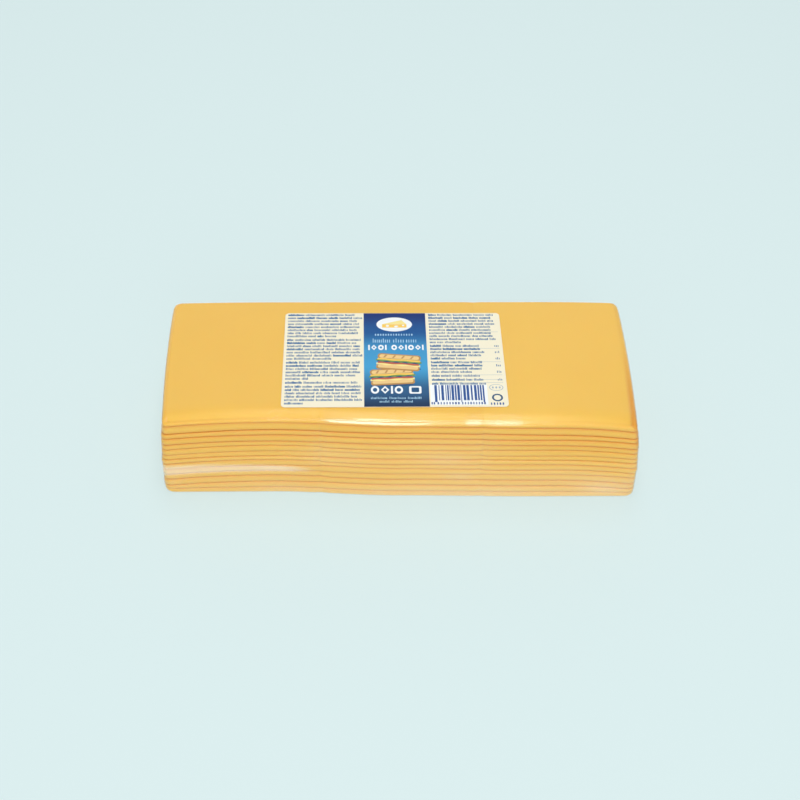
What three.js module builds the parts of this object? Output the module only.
// A catering pack of sliced cheese: three stacks of slices lie side by side in one long block,
// sealed tight in clear film, with a printed paper label stuck on the top.
//
// Millimetres. +X runs along the pack, -Y is the front, +Z is up. The origin is under the middle
// of the pack, on the surface that it rests on.

import * as THREE from 'three';
import { mergeVertices } from 'three/addons/utils/BufferGeometryUtils.js';

// Driving dimensions of the pack
const PACK_LENGTH = 224;
const PACK_WIDTH = 88;
const PACK_HEIGHT = 49;
const FRONT_CORNER_RADIUS = 4.5;
const BACK_CORNER_RADIUS = 3.5;
const TOP_EDGE_RADIUS = 1.8;
const BASE_EDGE_RADIUS = 1.5;

// The slices: how many stacks lie side by side, and how many layers each one shows
const STACKS = 3;
const LAYERS = 14;
const GROOVE_DEPTH = 0.6;
const GROOVE_HALF_HEIGHT = 0.55;
const JOINT_DENT_DEPTH = 0.5;
const JOINT_DENT_HALF_WIDTH = 2.5;
const SLICE_UNEVENNESS = 0.22;
const PRESSED_THINNER = 0.13;

// The film draws the upper slices in at each end, and the lower ones spread a little
const RIGHT_END_DRAWN_IN = 3;
const RIGHT_END_SPREAD = 0.5;
const LEFT_END_DRAWN_IN = 1.8;
const LEFT_END_SPREAD = 0.7;
const END_BARREL = 1;
const END_TAPER = 0.7;
const SIDE_DRAWN_IN = 0.8;

// The stacks don't stand quite in line: the left one's front is set back, the right one's is
// forward, and the middle one runs from one to the other
const LEFT_FRONT_SET_BACK = 3;
const RIGHT_FRONT_FORWARD = 1;
const STAGGER_REACH = 60;

// How far the ends hang down, and where along the pack that begins
const END_SAG = 3;
const LEFT_SAG_STARTS = -60;
const RIGHT_SAG_STARTS = 70;
const SAG_LEFT_AT_BACK = 0.25;
const SAG_FADES_BELOW = 0.2;

// The label
const LABEL_LEFT = -55;
const LABEL_RIGHT = 49.2;
const LABEL_FRONT = -34.4;
const LABEL_BACK = 33;
const LABEL_CORNER_RADIUS = 2;
const LABEL_THICKNESS = 0.2;
const LABEL_GAP = 0.12;
const LABEL_CORNER_STEPS = 6;

// How finely the faces are divided
const STEPS_PER_STACK = 11;
const STEPS_ACROSS = 14;

const halfLength = PACK_LENGTH / 2;
const halfWidth = PACK_WIDTH / 2;
const stackLength = PACK_LENGTH / STACKS;

// Stations crowd towards both ends of a stretch, where the form turns
function stationsBetween(from, to, steps) {
  return Array.from({ length: steps + 1 }, (_, i) => {
    const eased = 0.5 - 0.5 * Math.cos((Math.PI * i) / steps);
    return from + (to - from) * eased;
  });
}

function stationsAlong() {
  const stations = [-halfLength];
  for (let stack = 0; stack < STACKS; stack += 1) {
    const left = -halfLength + stack * stackLength;
    stations.push(...stationsBetween(left, left + stackLength, STEPS_PER_STACK).slice(1));
  }
  return stations;
}

// The slices below the top few are pressed thinner, and the lowest ones are thick again
function layerBoundaries() {
  const thickness = Array.from({ length: LAYERS }, (_, layer) => {
    const layersAbove = LAYERS - 1 - layer;
    const turn = (2 * Math.PI * (layersAbove - 1)) / (LAYERS - 3);
    return 1 + PRESSED_THINNER * Math.cos(turn);
  });
  const total = thickness.reduce((sum, part) => sum + part, 0);
  const heights = [0];
  for (const part of thickness) {
    heights.push(heights.at(-1) + (part * PACK_HEIGHT) / total);
  }
  return heights;
}

// Each level is a height, how far the outline is drawn in there, and which slice it belongs to
function levelsUp() {
  const heights = layerBoundaries();
  const levels = [
    { z: 0, inset: BASE_EDGE_RADIUS, layer: 0 },
    { z: BASE_EDGE_RADIUS * 0.3, inset: BASE_EDGE_RADIUS * 0.3, layer: 0 },
    { z: BASE_EDGE_RADIUS, inset: 0, layer: 0 },
  ];
  for (let layer = 1; layer < LAYERS; layer += 1) {
    const groove = heights[layer];
    levels.push({ z: groove - GROOVE_HALF_HEIGHT, inset: 0, layer: layer - 1 });
    levels.push({ z: groove, inset: GROOVE_DEPTH, layer: layer - 0.5 });
    levels.push({ z: groove + GROOVE_HALF_HEIGHT, inset: 0, layer });
  }
  const top = LAYERS - 1;
  levels.push({ z: PACK_HEIGHT - TOP_EDGE_RADIUS, inset: 0, layer: top });
  levels.push({ z: PACK_HEIGHT - TOP_EDGE_RADIUS * 0.3, inset: TOP_EDGE_RADIUS * 0.3, layer: top });
  levels.push({ z: PACK_HEIGHT, inset: TOP_EDGE_RADIUS, layer: top });
  return levels;
}

// Turns a square corner into a round one: each square ring round the corner's centre
// becomes a quarter circle
function roundCorner(x, y) {
  const radius = y < 0 ? FRONT_CORNER_RADIUS : BACK_CORNER_RADIUS;
  const centreX = halfLength - radius;
  const centreY = halfWidth - radius;
  const beyondX = Math.abs(x) - centreX;
  const beyondY = Math.abs(y) - centreY;
  if (beyondX <= 0 || beyondY <= 0) {
    return [x, y];
  }
  const shrink = Math.max(beyondX, beyondY) / Math.hypot(beyondX, beyondY);
  return [
    Math.sign(x) * (centreX + beyondX * shrink),
    Math.sign(y) * (centreY + beyondY * shrink),
  ];
}

// How far an end reaches past the half length, at a height from 0 to 1
function endReach(onRight, height) {
  const spread = onRight ? RIGHT_END_SPREAD : LEFT_END_SPREAD;
  const drawnIn = onRight ? RIGHT_END_DRAWN_IN : LEFT_END_DRAWN_IN;
  return spread - (spread + drawnIn) * height ** 3;
}

// No two slices lie quite flush: a small shift for each, on each of the pack's four sides
function unevenness(layer, side) {
  return SLICE_UNEVENNESS * Math.sin(2.4 * layer + 1.7 * side) * Math.cos(1.1 * layer + side);
}

// The film dips where two stacks meet
function jointDent(x) {
  const fromJoint = Math.abs(Math.abs(x) - stackLength / 2);
  return JOINT_DENT_DEPTH * Math.exp(-((fromJoint / JOINT_DENT_HALF_WIDTH) ** 2));
}

// The ends hang down a little, most at the front corners, and not where the pack lies flat
function sag(x, y, height) {
  const start = x < 0 ? LEFT_SAG_STARTS : RIGHT_SAG_STARTS;
  const along = Math.max(0, (Math.abs(x) - Math.abs(start)) / (halfLength - Math.abs(start)));
  const towardsFront = 0.5 - y / PACK_WIDTH;
  const share = SAG_LEFT_AT_BACK + (1 - SAG_LEFT_AT_BACK) * towardsFront;
  const held = THREE.MathUtils.smoothstep(height, 0, SAG_FADES_BELOW);
  return END_SAG * along ** 2 * share * held;
}

// How far the front stands back from its straight line, fading to nothing at the back
function stagger(x, y) {
  const towardsFront = 0.5 - y / PACK_WIDTH;
  const leftShare = THREE.MathUtils.smoothstep(-x, 0, STAGGER_REACH);
  const rightShare = THREE.MathUtils.smoothstep(x, 0, STAGGER_REACH);
  return (LEFT_FRONT_SET_BACK * leftShare - RIGHT_FRONT_FORWARD * rightShare) * towardsFront;
}

// Moves one point of the plain block to its place on the real pack. What shifts an end or a side
// fades towards the middle of the pack, so the top and the base move with their edges.
function shapePoint(x, y, level) {
  const height = level.z / PACK_HEIGHT;
  const [plainX, plainY] = roundCorner(x, y);
  const along = plainX / halfLength;
  const across = plainY / halfWidth;
  const endShift = endReach(x > 0, height) - END_BARREL * across ** 2 + END_TAPER * across
    + unevenness(level.layer, x < 0 ? 0 : 1) - level.inset;
  const sideShift = unevenness(level.layer, y < 0 ? 2 : 3) - SIDE_DRAWN_IN * height ** 4
    - jointDent(x) - level.inset;
  return new THREE.Vector3(
    plainX + along * along * along * endShift,
    plainY + across * Math.abs(across) * sideShift + stagger(x, y),
    level.z - sag(plainX, plainY, height),
  );
}

function makeSealedPack() {
  const alongX = stationsAlong();
  const levels = levelsUp();
  const stepsX = alongX.length - 1;
  const stepsZ = levels.length - 1;
  const acrossY = stationsBetween(-halfWidth, halfWidth, STEPS_ACROSS);
  const block = new THREE.BoxGeometry(1, 1, 1, stepsX, STEPS_ACROSS, stepsZ);
  block.deleteAttribute('normal');
  block.deleteAttribute('uv');
  const geometry = mergeVertices(block);
  const position = geometry.attributes.position;
  for (let i = 0; i < position.count; i += 1) {
    const x = alongX[Math.round((position.getX(i) + 0.5) * stepsX)];
    const y = acrossY[Math.round((position.getY(i) + 0.5) * STEPS_ACROSS)];
    const level = levels[Math.round((position.getZ(i) + 0.5) * stepsZ)];
    const point = shapePoint(x, y, level);
    position.setXYZ(i, point.x, point.y, point.z);
  }
  geometry.computeVertexNormals();
  const material = new THREE.MeshStandardMaterial({ color: 0xf0be5f, roughness: 0.35, metalness: 0 });
  const mesh = new THREE.Mesh(geometry, material);
  mesh.name = 'sealed_pack';
  return mesh;
}

function makeLabel() {
  const outline = new THREE.Shape();
  const turn = Math.PI / 2;
  const inLeft = LABEL_LEFT + LABEL_CORNER_RADIUS;
  const inRight = LABEL_RIGHT - LABEL_CORNER_RADIUS;
  const inFront = LABEL_FRONT + LABEL_CORNER_RADIUS;
  const inBack = LABEL_BACK - LABEL_CORNER_RADIUS;
  outline.absarc(inRight, inFront, LABEL_CORNER_RADIUS, -turn, 0);
  outline.absarc(inRight, inBack, LABEL_CORNER_RADIUS, 0, turn);
  outline.absarc(inLeft, inBack, LABEL_CORNER_RADIUS, turn, 2 * turn);
  outline.absarc(inLeft, inFront, LABEL_CORNER_RADIUS, 2 * turn, 3 * turn);
  const geometry = new THREE.ExtrudeGeometry(outline, {
    depth: LABEL_THICKNESS,
    bevelEnabled: false,
    curveSegments: LABEL_CORNER_STEPS,
  });
  const material = new THREE.MeshStandardMaterial({ color: 0xfdf3d7, roughness: 0.5, metalness: 0 });
  const mesh = new THREE.Mesh(geometry, material);
  mesh.name = 'label';
  mesh.position.z = PACK_HEIGHT + LABEL_GAP;
  return mesh;
}

const pack = new THREE.Group();
pack.add(makeSealedPack());
pack.add(makeLabel());

// Stand the pack so that the middle of its outline is over the origin
const outline = new THREE.Box3().setFromObject(pack);
const middle = outline.getCenter(new THREE.Vector3());
pack.position.set(-middle.x, -middle.y, -outline.min.z);

export default pack;
